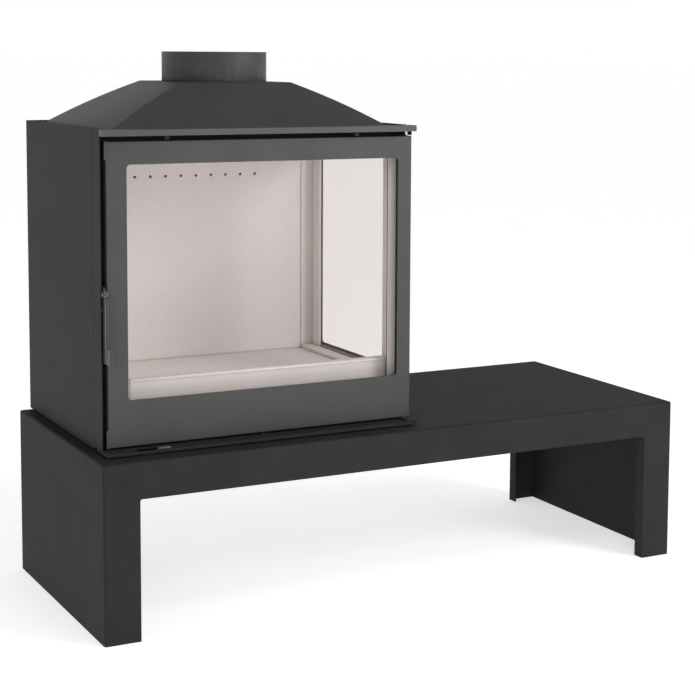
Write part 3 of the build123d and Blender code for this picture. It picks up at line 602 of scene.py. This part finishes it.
def rope_line(distance):
    """A point on the rope's centreline, and the direction across it in the door's plane."""
    distance %= rope_length
    for corner, run in enumerate((run_x, run_z, run_x, run_z)):
        turn = -corner * math.pi / 2
        centre = Vector((
            line_x[1] - line_radius if corner in (0, 1) else line_x[0] + line_radius,
            0,
            line_z[1] - line_radius if corner in (0, 3) else line_z[0] + line_radius,
        ))
        if distance <= run:
            outward = Vector((math.sin(-turn), 0, math.cos(-turn)))
            along = Vector((math.cos(-turn), 0, -math.sin(-turn)))
            return centre + outward * line_radius - along * (run - distance), outward
        distance -= run
        if distance <= arc:
            sweep = distance / line_radius - turn
            outward = Vector((math.sin(sweep), 0, math.cos(sweep)))
            return centre + outward * line_radius, outward
        distance -= arc
    return rope_line(0)


turns = round(rope_length / braid_pitch)
steps = turns * steps_per_pitch
line = bpy.data.curves.new("braid", "CURVE")
line.dimensions = "3D"
line.bevel_depth = strand_radius
line.bevel_resolution = 1
for way in (1, -1):
    for strand in range(strands_each_way):
        spline = line.splines.new("POLY")
        spline.points.add(steps - 1)
        spline.use_cyclic_u = True
        for i in range(steps):
            centre, outward = rope_line(rope_length * i / steps)
            angle = way * math.tau * i / steps_per_pitch + math.tau * strand / strands_each_way
            crossing = math.cos(math.tau * 2 * i / steps_per_pitch + math.pi * strand)
            lift = 1 + way * crossing * strand_radius * over_under / half_width
            point = centre + outward * math.cos(angle) * half_width * lift
            point.y = rope_middle_y + math.sin(angle) * half_thick * lift
            spline.points[i].co = (*point, 1)
braid = as_object("braid", line)
bpy.context.view_layer.update()
rope = as_object("seal_rope_braid", bpy.data.meshes.new_from_object(
    braid.evaluated_get(bpy.context.evaluated_depsgraph_get())
))
bpy.data.objects.remove(braid)
smooth(rope)

# Graphite turns the white glass fibre nearly black, with a dull, slightly fuzzy face.
fibre_rope, tree, shader, coords = new_material("graphited_glass_fibre_rope", Roughness=0.75)
filaments_per_metre = 900.0     # a real filament is too fine to show, so it is drawn 1 mm wide
filaments = add(tree, "ShaderNodeTexNoise", {}, {
    "Vector": coords, "Scale": filaments_per_metre, "Detail": 3.0,
})
tone = add(tree, "ShaderNodeMix", {"data_type": "RGBA"}, {"Factor": filaments.outputs["Fac"]})
tone.inputs["A"].default_value = linear("#1A1A1B")
tone.inputs["B"].default_value = linear("#4E4E50")
tree.links.new(tone.outputs["Result"], shader.inputs["Base Color"])
fuzz = add(tree, "ShaderNodeBump", {}, {
    "Height": filaments.outputs["Fac"], "Strength": 0.6, "Distance": 0.0003,
})
tree.links.new(fuzz.outputs["Normal"], shader.inputs["Normal"])
rope.data.materials.append(fibre_rope)
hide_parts("door_seal_rope")
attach(rope, "door")

# ---- hinges ----
# Two ground steel pins turn in brass bushes pressed into the door. The lower pin stands in a block
# on the sill, and a ground washer carries the door's weight on it.
# Ground steel is bright with fine lines along its axis, and turned brass warm with fine rings.
ground_steel = bare_metal("ground_steel", "#D8D8DA", "#B8B8BC", 0.24, 0.0008, (1, 1, 0.05), 0.08)
brass = bare_metal("turned_brass", "#D9B868", "#B8964A", 0.3, 0.001, (0.1, 0.1, 1), 0.1)
dress("hinge_pin_top", ground_steel, 0.0005)
dress("hinge_pin_bottom", ground_steel, 0.0003)
dress("hinge_bush_top", brass, 0.0003)
dress("hinge_bush_bottom", brass, 0.0003)
dress("thrust_washer", ground_steel)
dress("hinge_block", body_coat, 0.0005)

# ---- handle and catch ----
# A flat lever cut from 6 mm steel plate turns on a socket screw in the door's left edge. A slot in
# its rear edge takes the steel pin that stands on the front frame's cheek.

# Satin paint on the lever's faces, rubbed through to bare steel along its edges.
lever_coat = stove_paint("handle_satin_paint", "#3C3C3C", "#343434", 0.4, 0.3)
worn_edge = bare_metal("rubbed_steel_edge", "#8E8E92", "#6A6A6E", 0.3, 0.002)
dress("handle_lever", lever_coat, 0.0006, 2, worn_edge)
dress("handle_spacer", zinc)
dress("catch_pin", ground_steel, 0.0004)
pivot_screw_head, pivot_screw_shank = 0.002, 0.004
pivot_screw = screws(
    "handle_socket_screw", "handle_pivot_screw", Vector((1, 0, 0)), pivot_screw_head, pivot_screw_shank
)
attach(pivot_screw, "door")
